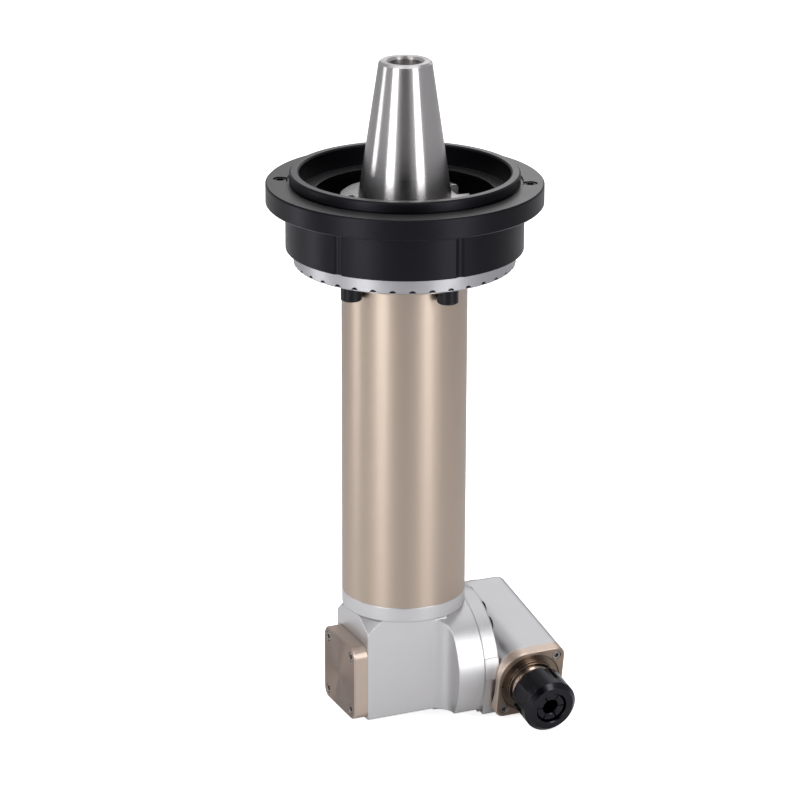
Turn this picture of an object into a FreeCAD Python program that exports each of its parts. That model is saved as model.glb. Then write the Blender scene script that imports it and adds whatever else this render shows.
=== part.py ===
import FreeCAD, Part
import math
import os

# Long-reach universal milling angle head, in millimetres.
# The origin is the centre of the flange's top mating face, +Z runs up the taper shank.
# The cross shaft and the swivel axis lie along +X; the tool spindle points to -Y, nose a little down.

os.makedirs("parts", exist_ok=True)

V = FreeCAD.Vector
X_AXIS = V(1, 0, 0)
Y_AXIS = V(0, 1, 0)
Z_AXIS = V(0, 0, 1)

# Fits and clearances
running_gap = 0.05
face_gap = 0.1
hole_gap = 0.5

# Taper shank, 7/24 taper number 50
gauge_dia = 69.85
taper_length = 101.8
taper_ratio = 7.0 / 24.0
gauge_z = -9.5
end_chamfer = 1.6
shank_groove_r = 31.0
shank_groove_h = 1.2
shank_flange_r = 50.0
shank_flange_t = 12.0
drive_slot_w = 25.7
drive_slot_r = 37.0
drive_slot_angle = -3.0
drawbar_thread_r = 12.0
drawbar_pilot_r = 12.9
drawbar_pilot_depth = 8.0
drawbar_depth = 52.0
drawbar_mouth_r = 14.2
shank_collar_r = 24.0
shank_journal_r = 20.0
shank_nut_t = 8.0
shank_nut_r = 29.0
shank_tail = 9.0

# Machine flange
flange_r = 104.4
flange_t = 16.0
flange_edge = 1.0
rim_w = 17.9
spigot_r = flange_r - rim_w
spigot_h = 8.0
spigot_chamfer = 1.2
spigot_groove_w = 2.2
spigot_groove_d = 1.4
spigot_wall = 7.2
spigot_bore_r = spigot_r - spigot_wall
body_setback = 14.7
body_r = flange_r - body_setback
body_bottom_z = -50.5
ledge_w = 11.5
ledge_r = spigot_bore_r - ledge_w
ledge_z = -8.0
recess_floor_z = -30.0
flange_screw_inset = 10.9
flange_screw_circle = flange_r - flange_screw_inset
flange_screw_angle = -27.0
flange_screw_count = 2
flange_screw_head_r = 5.0
flange_screw_head_h = 6.0
flange_screw_hole_r = 5.5
flange_screw_shank_r = 3.0
flange_screw_sink = 0.6
scallop_r = 5.2
scallop_step = 60.0

# Indexing of the column on the flange
index_ring_setback = 6.0
index_ring_r = body_r - index_ring_setback
index_ring_t = 12.0
index_ring_edge = 0.8
index_notch_count = 36
index_notch_r = 2.8
index_notch_depth = 4.0
clamp_angles = (-159.0, -79.0, 21.0, 101.0)
clamp_screw_r = 5.0
clamp_head_r = 8.0
clamp_head_h = 11.0
t_slot_neck = 10.6
t_slot_neck_depth = 5.0
t_slot_width = 16.6
t_slot_depth = 7.0
t_nut_side = 15.0
t_nut_h = 6.0

# Column
sleeve_r = 39.95
sleeve_top_z = -31.0
sleeve_bottom_z = -110.0
sleeve_shoulder_r = 30.0
tube_r = 47.7
clamp_head_gap = 0.3
clamp_circle_r = tube_r + clamp_head_r + clamp_head_gap
tube_bottom_z = -325.8
tube_bore_r = 36.0
tube_flange_edge = 7.0
tube_flange_r = clamp_circle_r + tube_flange_edge
tube_flange_t = 7.0
tube_spigot_h = 12.0

# Bearings: inner radius, outer radius, width, thickness of the rings, number of rollers or balls
input_bearing = (20.0, 34.0, 15.0, 3.6, 12)
shaft_bearing = (10.0, 23.5, 14.0, 3.4, 9)
nose_bearing = (12.5, 23.5, 11.0, 3.0, 12)
input_seal_t = 3.0
input_spacer = 3.0
retainer_bore_r = 15.0

# Gearbox housing
swivel_z = -390.6
box_left_x = -43.0
box_half = 30.0
shoulder_height = 53.3
shoulder_r = 41.8
shoulder_slope = 0.84
collar_r = tube_r
barrel_left_x = 24.0
barrel_r = 53.6
barrel_blend_r = 12.0
barrel_right_x = 46.0
barrel_bottom = 31.0
cavity_r = 26.0
swivel_bore_r = 30.0
swivel_bore_depth = 10.0
swivel_circle_r = 45.5
swivel_slot_r = 4.6
swivel_slot_depth = 4.5
swivel_t_half = 5.5
swivel_t_depth = 5.5

# End cover
cover_t = 11.3
cover_corner_r = 8.5
cover_edge = 1.0
cover_screw_offset = 22.0
cover_spigot = 2.0
cover_pocket_depth = 6.0
small_screw_r = 2.0
small_head_r = 3.5
small_head_h = 4.0
small_head_sink = 0.5
small_screw_length = 14.0
hex_ratio = 0.56

# Bevel gears, one size, all four alike apart from their hubs
gear_teeth = 20
gear_module = 2.0
gear_face = 8.0
gear_pressure = 20.0
gear_backlash = 0.12
gear_hub_r = 15.0
gear_bore_r = 10.0
gear_hub_end = 27.0
input_hub_end = 30.0
key_w = 5.0
key_h = 5.0
key_length = 6.0

# Drive shaft and cross shaft
drive_shaft_r = 12.0
drive_shaft_top = -58.0
drive_pin_r = 3.0
lock_nut_t = 5.5
lock_nut_r = 14.0
cross_bearing_b_x = 22.0

# Swivelling head: d runs out along the spindle, u along +X, v is up across both
head_x = 83.4
tilt = 9.6
head_half = 28.0
head_back = 59.2
head_front = 49.5
head_big_corner_r = 24.0
head_corner_r = 8.0
hood_right_x = 58.0
hood_r = 53.0
hood_start = -80.0
hood_end = 75.0
neck_r = 40.0
shoe_top = 6.0
shoe_relief_x = 48.4
swivel_screw_angles = (42.5, 23.5, -4.3, -23.3)
swivel_screw_r = 4.0
swivel_head_r = 6.25
swivel_head_h = 8.0
swivel_head_proud = 2.6
swivel_nut_half = 5.2
swivel_nut_t = 5.0
back_corner_r = 7.0
head_spigot_r = 29.95
head_spigot_bore_r = 24.5
plate_t = 8.0
plate_edge = 1.0
plate_screw_offset = 20.7
plate_bore_r = 24.8
plate_bore_depth = 5.0
rear_cover_r = 25.5
rear_cover_t = 6.0

# Spindle, collet and nut
spindle_bore_r = 7.0
nose_r = 20.0
nose_flange_end = 62.0
nose_groove_w = 1.6
nose_groove_depth = 1.2
nose_grooves = 2
thread_r = 16.0
spindle_end = 90.0
nut_r = 21.5
nut_start = 69.5
nut_end = 96.5
nut_chamfer = 3.6
nut_mouth_r = 12.4
nut_lip_t = 3.0
nut_slots = 6
nut_slot_w = 7.0
nut_slot_phase = 15.0
nut_slot_depth = 1.7
nut_slot_length = 17.0
collet_front_r = 13.0
collet_length = 32.0
collet_half_angle = 8.0
collet_bore_r = 6.0
collet_slots = 6
collet_slot_w = 1.0
labyrinth_t = 4.0
labyrinth_r = 24.3

# Values worked out from the ones above
shank_top_z = gauge_z + taper_length
shank_end_r = gauge_dia / 2 - taper_length * taper_ratio / 2
shank_flange_top = gauge_z - shank_groove_h
input_bearing_top = sleeve_top_z - input_seal_t
input_bearing_bottom = input_bearing_top - 2 * input_bearing[2] - input_spacer
shank_bottom_z = input_bearing_bottom - shank_nut_t - shank_tail
index_ring_top = body_bottom_z - face_gap
index_ring_bottom = index_ring_top - index_ring_t
tube_flange_bottom = index_ring_bottom - tube_flange_t
lower_bearing_bottom = swivel_z + input_hub_end
lower_bearing_top = lower_bearing_bottom + 2 * shaft_bearing[2]
shoulder_z = swivel_z + shoulder_height
cross_a_right = -gear_hub_end
cross_a_left = cross_a_right - shaft_bearing[2]
cross_b_right = cross_bearing_b_x + shaft_bearing[2]
toe_scale = 1 - gear_face / (gear_teeth * gear_module / 2 * math.sqrt(2))
nose_bearing_start = gear_hub_end
nose_bearing_end = nose_bearing_start + 2 * nose_bearing[2]
rear_bearing_back = head_back - rear_cover_t - lock_nut_t - 1.0

tilt_rad = math.radians(tilt)
HEAD = V(head_x, 0, swivel_z)
D_AXIS = V(0, -math.cos(tilt_rad), -math.sin(tilt_rad))
V_AXIS = V(0, -math.sin(tilt_rad), math.cos(tilt_rad))


def frame_placement(origin, x_dir, z_dir):
    """Placement that carries local X and Z onto two directions of the part."""
    y_dir = z_dir.cross(x_dir)
    matrix = FreeCAD.Matrix(
        x_dir.x, y_dir.x, z_dir.x, origin.x,
        x_dir.y, y_dir.y, z_dir.y, origin.y,
        x_dir.z, y_dir.z, z_dir.z, origin.z,
        0, 0, 0, 1)
    return FreeCAD.Placement(matrix)


# Local Z along the swivel axis, along the spindle, and along the column
ON_SWIVEL = frame_placement(V(0, 0, swivel_z), V(0, 0, 1), X_AXIS)
ON_SPINDLE = frame_placement(HEAD, X_AXIS, D_AXIS)


def placed(shape, placement):
    """A copy of a shape, carried by a placement."""
    moved = shape.copy()
    moved.Placement = placement.multiply(moved.Placement)
    return moved


def turned(points):
    """Solid of revolution about Z of a closed outline of (radius, height) points."""
    corners = [V(r, 0, z) for r, z in points]
    face = Part.Face(Part.makePolygon(corners + corners[:1]))
    return face.revolve(V(0, 0, 0), Z_AXIS, 360)


def ring(outer_r, inner_r, low, high):
    """Plain ring about Z."""
    return turned([(inner_r, low), (outer_r, low), (outer_r, high), (inner_r, high)])


def rod(radius, low, high, x=0.0, y=0.0):
    """Cylinder along Z between two heights."""
    return Part.makeCylinder(radius, high - low, V(x, y, low), Z_AXIS)


def box(x0, x1, y0, y1, z0, z1):
    """Box between two corners."""
    return Part.makeBox(x1 - x0, y1 - y0, z1 - z0, V(x0, y0, z0))


def around(shape, angles):
    """Copies of a shape turned about Z by each of the angles, in degrees."""
    copies = []
    for angle in angles:
        copy = shape.copy()
        copy.rotate(V(0, 0, 0), Z_AXIS, angle)
        copies.append(copy)
    return copies


def even_angles(count, start=0.0):
    """Evenly spaced angles of a full circle."""
    return [start + 360.0 * i / count for i in range(count)]


def hexagon(across_flats, low, high):
    """Six-sided prism about Z."""
    corner_r = across_flats / math.sqrt(3)
    corners = []
    for angle in even_angles(6):
        turn = math.radians(angle)
        corners.append(V(corner_r * math.cos(turn), corner_r * math.sin(turn), low))
    return Part.Face(Part.makePolygon(corners + corners[:1])).extrude(V(0, 0, high - low))


def rounded_plate(half_x, half_y, low, high, radii):
    """Prism with rounded corners; radii run from the +X +Y corner anticlockwise."""
    signs = ((1, 1), (-1, 1), (-1, -1), (1, -1))
    edges = []
    last = None
    first = None
    for (sx, sy), radius in zip(signs, radii):
        centre = V(sx * (half_x - radius), sy * (half_y - radius), low)
        start_angle = math.atan2(sy, sx) - math.pi / 4
        stops = [start_angle, start_angle + math.pi / 4, start_angle + math.pi / 2]
        points = [centre + V(radius * math.cos(a), radius * math.sin(a), 0) for a in stops]
        if last:
            edges.append(Part.LineSegment(last, points[0]).toShape())
        else:
            first = points[0]
        edges.append(Part.Arc(*points).toShape())
        last = points[2]
    edges.append(Part.LineSegment(last, first).toShape())
    return Part.Face(Part.Wire(edges)).extrude(V(0, 0, high - low))


def cap_screw(head_r, head_h, shank_r, length):
    """Socket head cap screw along Z: seat of the head at 0, head above, shank below."""
    edge = head_r * 0.1
    screw = turned([
        (0, -length), (shank_r, -length), (shank_r, 0), (head_r, 0),
        (head_r, head_h - edge), (head_r - edge, head_h), (0, head_h)])
    return screw.cut(hexagon(2 * head_r * hex_ratio, head_h * 0.45, head_h + 1))


def counterbore(head_r, depth, shank_r, length):
    """Hole for a sunk cap screw along Z: seat at 0, mouth at depth."""
    return rod(head_r, 0, depth + 1).fuse(rod(shank_r, -length, 0.01))


def slotted_nut(outer_r, bore_r, low, high, slots=4):
    """Round lock nut about Z with slots for a hook spanner."""
    slot_w = outer_r * 0.3
    slot_d = outer_r * 0.12
    slot = box(outer_r - slot_d, outer_r + 1, -slot_w / 2, slot_w / 2, low - 1, high + 1)
    return ring(outer_r, bore_r, low, high).cut(Part.makeCompound(around(slot, even_angles(slots))))


def bearing_outer(size, low):
    """Outer ring of a roller bearing about Z, with a lip each side of its track."""
    inner_r, outer_r, width, wall, count = size
    lip = wall * 0.4
    track = outer_r - wall
    high = low + width
    side = width * 0.16
    return turned([
        (track - lip, low), (outer_r, low), (outer_r, high), (track - lip, high),
        (track - lip, high - side), (track, high - side), (track, low + side), (track - lip, low + side)])


def bearing_inner(size, low):
    """Inner ring of a roller bearing about Z."""
    inner_r, outer_r, width, wall, count = size
    return ring(inner_r + wall - running_gap, inner_r, low, low + width)


def bearing_rollers(size, low):
    """Rollers of one bearing about Z, resting in the outer ring's track."""
    inner_r, outer_r, width, wall, count = size
    roller_r = (outer_r - inner_r - 2 * wall) / 2
    side = width * 0.16 + face_gap
    roller = rod(roller_r, low + side, low + width - side, x=outer_r - wall - roller_r)
    return around(roller, even_angles(count))


def bevel_gear(hub_end, tooth_at_x):
    """Straight bevel gear with 45 degree pitch cone about Z, apex at the origin, teeth facing down.

    The tooth spaces follow the involute of the back cone's equivalent spur gear, and every
    flank runs to the apex. With tooth_at_x a tooth lies at +X, otherwise a space does.
    """
    pitch_r = gear_teeth * gear_module / 2
    cone = math.radians(45)
    cone_distance = pitch_r / math.sin(cone)
    equivalent_r = pitch_r / math.cos(cone)
    equivalent_teeth = gear_teeth / math.cos(cone)
    base_r = equivalent_r * math.cos(math.radians(gear_pressure))
    root_r = equivalent_r - 1.25 * gear_module
    tip_r = equivalent_r + gear_module

    def on_back_cone(rho):
        """Radius and height of a point of the back cone."""
        return rho * math.cos(cone), cone_distance / math.cos(cone) - rho * math.sin(cone)

    def involute(angle):
        """Involute function."""
        return math.tan(angle) - angle

    def half_space(rho):
        """Half width of a tooth space as an angle of the equivalent gear."""
        at = math.acos(min(1.0, base_r / rho))
        half_tooth = (math.pi / 2 / equivalent_teeth + involute(math.radians(gear_pressure)) - involute(at)
                      - gear_backlash / 2 / equivalent_r)
        return math.pi / equivalent_teeth - half_tooth

    tip_at = on_back_cone(tip_r)
    back_at = on_back_cone(equivalent_r - 2.2 * gear_module)
    front_at = on_back_cone(equivalent_r - 1.8 * gear_module)
    blank = turned([
        (gear_bore_r, front_at[1] * toe_scale), (front_at[0] * toe_scale, front_at[1] * toe_scale),
        (tip_at[0] * toe_scale, tip_at[1] * toe_scale), tip_at, back_at,
        (gear_hub_r, back_at[1]), (gear_hub_r, hub_end), (gear_bore_r, hub_end)])

    radii = [root_r, base_r, (base_r + equivalent_r) / 2, equivalent_r,
             (equivalent_r + tip_r) / 2, tip_r, tip_r + 0.7 * gear_module]
    right = [(rho, half_space(rho)) for rho in radii]
    outline = right + [(rho, -psi) for rho, psi in reversed(right)]
    pitch_line = V(math.sin(cone), 0, math.cos(cone))
    rays = []
    for rho, psi in outline:
        radius, height = on_back_cone(rho)
        azimuth = psi / math.cos(cone)
        point = V(radius * math.cos(azimuth), radius * math.sin(azimuth), height)
        rays.append(point * (1 / point.dot(pitch_line)))
    near = [ray * (cone_distance * toe_scale * 0.86) for ray in rays]
    far = [ray * (cone_distance * 1.2) for ray in rays]
    faces = [Part.Face(Part.makePolygon(near + near[:1])), Part.Face(Part.makePolygon(far + far[:1]))]
    for i in range(len(rays)):
        j = (i + 1) % len(rays)
        faces.append(Part.Face(Part.makePolygon([near[i], near[j], far[j], far[i], near[i]])))
    space = Part.Solid(Part.Shell(faces))
    if space.Volume < 0:
        space.reverse()
    first = 180.0 / gear_teeth if tooth_at_x else 0.0
    return blank.cut(Part.makeCompound(around(space, even_angles(gear_teeth, first))))


def key_block(radius, low, high):
    """Parallel key on the +Y side of a shaft about Z."""
    return box(-key_w / 2, key_w / 2, radius - key_h / 2, radius + key_h / 2, low, high)


def save(name, shapes):
    """Writes one node, a solid or a group of separate solids."""
    shape = shapes
    if isinstance(shapes, list):
        shape = shapes[0] if len(shapes) == 1 else Part.makeCompound(shapes)
    if not shape.isValid():
        print("not valid:", name)
    shape.exportStep("parts/" + name + ".step")
    print(name, len(shape.Solids), "solids", round(sum(s.Volume for s in shape.Solids)), "mm3")


# Machine flange and its screws

def flange_screw_seat():
    """Height of the seat under the sunk heads of the flange screws."""
    return -flange_screw_head_h - flange_screw_sink


def mounting_flange():
    """Black flange with a centring spigot, a stepped recess for the machine's spindle nose and a T groove."""
    body = turned([
        (sleeve_r + running_gap, body_bottom_z), (body_r, body_bottom_z), (body_r, -flange_t),
        (flange_r - flange_edge, -flange_t), (flange_r, -flange_t + flange_edge),
        (flange_r, -flange_edge), (flange_r - flange_edge, 0), (spigot_r + spigot_groove_w, 0),
        (spigot_r + spigot_groove_w, -spigot_groove_d), (spigot_r, -spigot_groove_d),
        (spigot_r, spigot_h - spigot_chamfer), (spigot_r - spigot_chamfer, spigot_h),
        (spigot_bore_r + spigot_chamfer, spigot_h), (spigot_bore_r, spigot_h - spigot_chamfer),
        (spigot_bore_r, ledge_z), (ledge_r, ledge_z), (ledge_r, recess_floor_z),
        (sleeve_r + running_gap, recess_floor_z)])
    neck_top = body_bottom_z + t_slot_neck_depth
    groove = ring(clamp_circle_r + t_slot_neck / 2, clamp_circle_r - t_slot_neck / 2,
                  body_bottom_z - 1, neck_top + 0.01)
    wide = ring(clamp_circle_r + t_slot_width / 2, clamp_circle_r - t_slot_width / 2,
                neck_top, neck_top + t_slot_depth)
    hole = counterbore(flange_screw_hole_r, flange_screw_head_h + flange_screw_sink,
                       flange_screw_shank_r, flange_t)
    hole.translate(V(flange_screw_circle, 0, flange_screw_seat()))
    holes = around(hole, even_angles(flange_screw_count, flange_screw_angle))
    scallop = rod(scallop_r, body_bottom_z - 1, -flange_t, x=flange_screw_circle)
    steps = (1, 2, 4, 5)
    scallops = around(scallop, [flange_screw_angle + scallop_step * i for i in steps])
    return body.cut(Part.makeCompound([groove, wide] + holes + scallops))


def flange_screws():
    """Socket screws sunk in the flange's top face."""
    length = flange_t + flange_screw_seat()
    screw = cap_screw(flange_screw_head_r, flange_screw_head_h, flange_screw_shank_r, length)
    screw.translate(V(flange_screw_circle, 0, flange_screw_seat()))
    return around(screw, even_angles(flange_screw_count, flange_screw_angle))


# Index ring, clamp screws, sleeve and tube

def clamp_holes(low, high):
    """Clearance holes for the clamp screws."""
    return around(rod(clamp_screw_r + hole_gap, low - 1, high + 1, x=clamp_circle_r), clamp_angles)


def index_ring():
    """Ring with half-round notches every ten degrees round its lower edge."""
    body = turned([
        (sleeve_r, index_ring_bottom), (index_ring_r - index_ring_edge, index_ring_bottom),
        (index_ring_r, index_ring_bottom + index_ring_edge), (index_ring_r, index_ring_top - index_ring_edge),
        (index_ring_r - index_ring_edge, index_ring_top), (sleeve_r, index_ring_top)])
    notch = Part.makeCylinder(index_notch_r, index_notch_depth + 1,
                              V(index_ring_r - index_notch_depth, 0, index_ring_bottom), X_AXIS)
    notches = around(notch, even_angles(index_notch_count))
    return body.cut(Part.makeCompound(notches + clamp_holes(index_ring_bottom, index_ring_top)))


def clamp_screws():
    """Clamp screws, heads under the tube's flange, shanks up into the T nuts."""
    reach = body_bottom_z + t_slot_neck_depth + face_gap + t_nut_h - tube_flange_bottom
    screw = cap_screw(clamp_head_r, clamp_head_h, clamp_screw_r, reach)
    screw.rotate(V(0, 0, 0), X_AXIS, 180)
    screw.translate(V(clamp_circle_r, 0, tube_flange_bottom))
    return around(screw, clamp_angles)


def t_nuts():
    """Square nuts that slide round the flange's T groove."""
    low = body_bottom_z + t_slot_neck_depth + face_gap
    half = t_nut_side / 2
    nut = box(clamp_circle_r - half, clamp_circle_r + half, -half, half, low, low + t_nut_h)
    nut = nut.cut(rod(clamp_screw_r, low - 1, low + t_nut_h + 1, x=clamp_circle_r))
    return around(nut, clamp_angles)


def bearing_sleeve():
    """Sleeve that centres the column in the flange and holds the input bearings."""
    return turned([
        (sleeve_shoulder_r, sleeve_bottom_z), (sleeve_r, sleeve_bottom_z), (sleeve_r, sleeve_top_z),
        (input_bearing[1], sleeve_top_z), (input_bearing[1], input_bearing_bottom),
        (sleeve_shoulder_r, input_bearing_bottom)])


def extension_tube():
    """Anodised tube with a flange at its top and a counterbore at each end."""
    body = turned([
        (sleeve_r, index_ring_bottom), (tube_flange_r, index_ring_bottom),
        (tube_flange_r, tube_flange_bottom), (tube_r, tube_flange_bottom), (tube_r, tube_bottom_z),
        (sleeve_r, tube_bottom_z), (sleeve_r, tube_bottom_z + tube_spigot_h),
        (tube_bore_r, tube_bottom_z + tube_spigot_h), (tube_bore_r, sleeve_bottom_z),
        (sleeve_r, sleeve_bottom_z)])
    heads = around(rod(clamp_head_r + hole_gap, tube_flange_bottom - clamp_head_h - 2,
                       tube_flange_bottom, x=clamp_circle_r), clamp_angles)
    holes = clamp_holes(tube_flange_bottom, index_ring_bottom)
    return body.cut(Part.makeCompound(heads + holes))


def input_bearing_lows():
    """Lower faces of the two input bearings."""
    return [input_bearing_bottom, input_bearing_top - input_bearing[2]]


def input_seal():
    """Seal ring above the input bearings."""
    return ring(input_bearing[1], shank_collar_r + running_gap, input_bearing_top, sleeve_top_z)


def input_spacers():
    """Spacer rings between the two input bearings."""
    low = input_bearing_bottom + input_bearing[2]
    wall = input_bearing[3]
    return (ring(input_bearing[1], input_bearing[1] - wall, low, low + input_spacer),
            ring(input_bearing[0] + wall, input_bearing[0], low, low + input_spacer))


# Input shaft

def taper_shank():
    """Number 50 taper with drive slots, journal for the input bearings and a bore for the drive shaft."""
    flange_bottom = shank_flange_top - shank_flange_t
    body = turned([
        (drive_shaft_r, shank_bottom_z), (shank_journal_r, shank_bottom_z),
        (shank_journal_r, input_bearing_top), (shank_collar_r, input_bearing_top),
        (shank_collar_r, flange_bottom), (shank_flange_r - end_chamfer, flange_bottom),
        (shank_flange_r, flange_bottom + end_chamfer), (shank_flange_r, shank_flange_top - end_chamfer),
        (shank_flange_r - end_chamfer, shank_flange_top), (shank_groove_r, shank_flange_top),
        (shank_groove_r, gauge_z), (gauge_dia / 2, gauge_z),
        (shank_end_r, shank_top_z - end_chamfer), (shank_end_r - end_chamfer, shank_top_z),
        (drawbar_mouth_r, shank_top_z), (drawbar_pilot_r, shank_top_z - 2.0),
        (drawbar_pilot_r, shank_top_z - drawbar_pilot_depth),
        (drawbar_thread_r, shank_top_z - drawbar_pilot_depth),
        (drawbar_thread_r, shank_top_z - drawbar_depth), (0, shank_top_z - drawbar_depth),
        (0, drive_shaft_top), (drive_shaft_r, drive_shaft_top)])
    slot = box(drive_slot_r, shank_flange_r + 5, -drive_slot_w / 2, drive_slot_w / 2,
               flange_bottom - 1, shank_flange_top + 1)
    slots = around(slot, even_angles(2, drive_slot_angle))
    return body.cut(Part.makeCompound(slots + [drive_pin()]))


def shank_lock_nut():
    """Nut that holds the input bearings on the shank."""
    low = input_bearing_bottom - shank_nut_t
    return slotted_nut(shank_nut_r, shank_journal_r, low, input_bearing_bottom)


def drive_pin():
    """Cross pin that couples the shank and the drive shaft."""
    height = shank_bottom_z + shank_tail / 2
    return Part.makeCylinder(drive_pin_r, 2 * shank_journal_r - 2,
                             V(-shank_journal_r + 1, 0, height), X_AXIS)


def drive_key():
    """Key of the input bevel gear."""
    key = key_block(gear_bore_r, input_hub_end - key_length - 1, input_hub_end - 1)
    key.translate(V(0, 0, swivel_z))
    return key


def drive_shaft():
    """Long shaft down the tube to the input bevel gear."""
    toe = swivel_z + front_of_gear()
    body = turned([
        (0, toe), (gear_bore_r, toe), (gear_bore_r, lower_bearing_top),
        (drive_shaft_r, lower_bearing_top), (drive_shaft_r, drive_shaft_top), (0, drive_shaft_top)])
    return body.cut(drive_pin()).cut(drive_key())


def front_of_gear():
    """Distance of a gear's front face from its apex."""
    pitch_r = gear_teeth * gear_module / 2
    return (pitch_r + 1.8 * gear_module * math.sin(math.radians(45))) * toe_scale


def input_bevel_gear():
    """Gear on the drive shaft, its tooth at the contact line towards -X."""
    gear = bevel_gear(input_hub_end, True)
    gear.rotate(V(0, 0, 0), Z_AXIS, 180)
    gear.translate(V(0, 0, swivel_z))
    return gear.cut(drive_key())


# Gearbox housing

def shoulder_outline():
    """Turned envelope of the gearbox: a steep cone that cuts the box's upper corners."""
    wide = 3 * box_half
    fall = (wide - shoulder_r) / shoulder_slope
    return turned([
        (0, swivel_z - barrel_bottom), (wide, swivel_z - barrel_bottom),
        (wide, shoulder_z - fall), (shoulder_r, shoulder_z), (0, shoulder_z)])


def barrel_blend(side):
    """Concave blend between the box's front or back face and the barrel's left face."""
    corner = V(barrel_left_x, side * box_half, swivel_z - barrel_bottom)
    reach = barrel_blend_r
    a = corner + V(-reach, 0, 0)
    b = corner + V(0, side * reach, 0)
    middle = V(corner.x - reach + reach * math.sin(math.pi / 4),
               corner.y + side * reach * (1 - math.cos(math.pi / 4)), corner.z)
    edges = [Part.LineSegment(corner, a).toShape(), Part.Arc(a, middle, b).toShape(),
             Part.LineSegment(b, corner).toShape()]
    wall = Part.Face(Part.Wire(edges)).extrude(V(0, 0, barrel_bottom + barrel_r))
    limit = Part.makeCylinder(barrel_r, 2 * reach, V(barrel_left_x - reach, 0, swivel_z), X_AXIS)
    return wall.common(limit)


def gearbox_outside():
    """Outer form: collar, box with turned shoulders and round barrel."""
    block = box(box_left_x, barrel_left_x, -box_half, box_half, swivel_z - box_half, shoulder_z)
    block = block.common(shoulder_outline())
    collar = rod(collar_r, shoulder_z, tube_bottom_z)
    spigot = rod(sleeve_r, tube_bottom_z, tube_bottom_z + tube_spigot_h)
    barrel = Part.makeCylinder(barrel_r, barrel_right_x - barrel_left_x, V(barrel_left_x, 0, swivel_z), X_AXIS)
    keep = box(barrel_left_x, barrel_right_x, -barrel_r, barrel_r, swivel_z - barrel_bottom, swivel_z + barrel_r)
    barrel = barrel.common(keep)
    return block.multiFuse([collar, spigot, barrel, barrel_blend(-1), barrel_blend(1)]).removeSplitter()


def gearbox_housing():
    """Gearbox housing with its vertical bore, cross bore, gear chamber and swivel bore."""
    column_bore = rod(shaft_bearing[1], lower_bearing_bottom, tube_bottom_z + tube_spigot_h + 1)
    chamber = rod(cavity_r, swivel_z - cavity_r + 1, lower_bearing_bottom + 0.01)
    cross_bore = Part.makeCylinder(shaft_bearing[1], cross_b_right - box_left_x + 1,
                                   V(box_left_x - 1, 0, swivel_z), X_AXIS)
    swivel_bore = Part.makeCylinder(swivel_bore_r, swivel_bore_depth + 1,
                                    V(barrel_right_x - swivel_bore_depth, 0, swivel_z), X_AXIS)
    cuts = [column_bore, chamber, cross_bore, swivel_bore] + swivel_slot()
    cuts += [placed(rod(small_screw_r, -small_screw_length, 1), seat) for seat in cover_screw_seats(0.0)]
    return gearbox_outside().cut(Part.makeCompound(cuts))


def swivel_slot():
    """T groove round the barrel's right face."""
    deep = barrel_right_x - swivel_slot_depth
    neck = ring(swivel_circle_r + swivel_slot_r, swivel_circle_r - swivel_slot_r, deep - 0.01, barrel_right_x + 1)
    wide = ring(swivel_circle_r + swivel_t_half, swivel_circle_r - swivel_t_half, deep - swivel_t_depth, deep)
    return [placed(neck, ON_SWIVEL), placed(wide, ON_SWIVEL)]


def bearing_retainer():
    """Ring that holds the lower bearings down in the gearbox."""
    return ring(shaft_bearing[1], retainer_bore_r, lower_bearing_top, tube_bottom_z)


# End cover

def cover_screw_seats(out):
    """Placements of the end cover's screws, local Z pointing out along -X."""
    seats = []
    for sy in (-1, 1):
        for sz in (-1, 1):
            origin = V(box_left_x - out, sy * cover_screw_offset, swivel_z + sz * cover_screw_offset)
            seats.append(frame_placement(origin, Y_AXIS, V(-1, 0, 0)))
    return seats


def end_cover():
    """Square cover with rounded corners, a spigot against the bearing and room for the lock nut."""
    slab = chamfered_plate(box_half, box_half, cover_t, [cover_corner_r] * 4, cover_edge)
    spigot = ring(shaft_bearing[1], lock_nut_r + 1, -cover_spigot, 0.01)
    pocket = rod(lock_nut_r + 1, -cover_spigot - 1, cover_pocket_depth)
    cover = placed(slab.fuse(spigot).cut(pocket), frame_placement(V(box_left_x, 0, swivel_z), Y_AXIS, V(-1, 0, 0)))
    depth = small_head_h + small_head_sink
    holes = [placed(counterbore(small_head_r + 0.4, depth, small_screw_r, cover_t), seat)
             for seat in cover_screw_seats(cover_t - depth)]
    return cover.cut(Part.makeCompound(holes))


def end_cover_screws():
    """Four socket screws of the end cover."""
    depth = small_head_h + small_head_sink
    screw = cap_screw(small_head_r, small_head_h, small_screw_r, cover_t - depth + small_screw_length - 1)
    return [placed(screw, seat) for seat in cover_screw_seats(cover_t - depth)]


def chamfered_plate(half_x, half_y, thickness, radii, edge):
    """Plate on the plane 0 with rounded corners and a chamfer round its outer face."""
    lower = rounded_plate(half_x, half_y, 0, thickness - edge, radii)
    rim = lower.Faces[-1]
    for face in lower.Faces:
        if abs(face.CenterOfMass.z - (thickness - edge)) < 1e-6:
            rim = face
    upper = rounded_plate(half_x - edge, half_y - edge, thickness, thickness + 1, [r - edge for r in radii])
    cap = upper.Faces[0]
    for face in upper.Faces:
        if abs(face.CenterOfMass.z - thickness) < 1e-6:
            cap = face
    bevel = Part.makeLoft([rim.OuterWire, cap.OuterWire], True, True)
    return lower.fuse(bevel).removeSplitter()


# Cross shaft

def cross_shaft_keys():
    """Keys of the two gears on the cross shaft."""
    keys = []
    left = key_block(gear_bore_r, -gear_hub_end + 1, -gear_hub_end + 1 + key_length)
    right_end = head_x - gear_hub_end + 1
    right = key_block(gear_bore_r, right_end, right_end + key_length)
    for key in (left, right):
        keys.append(placed(key, ON_SWIVEL))
    return keys


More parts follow.
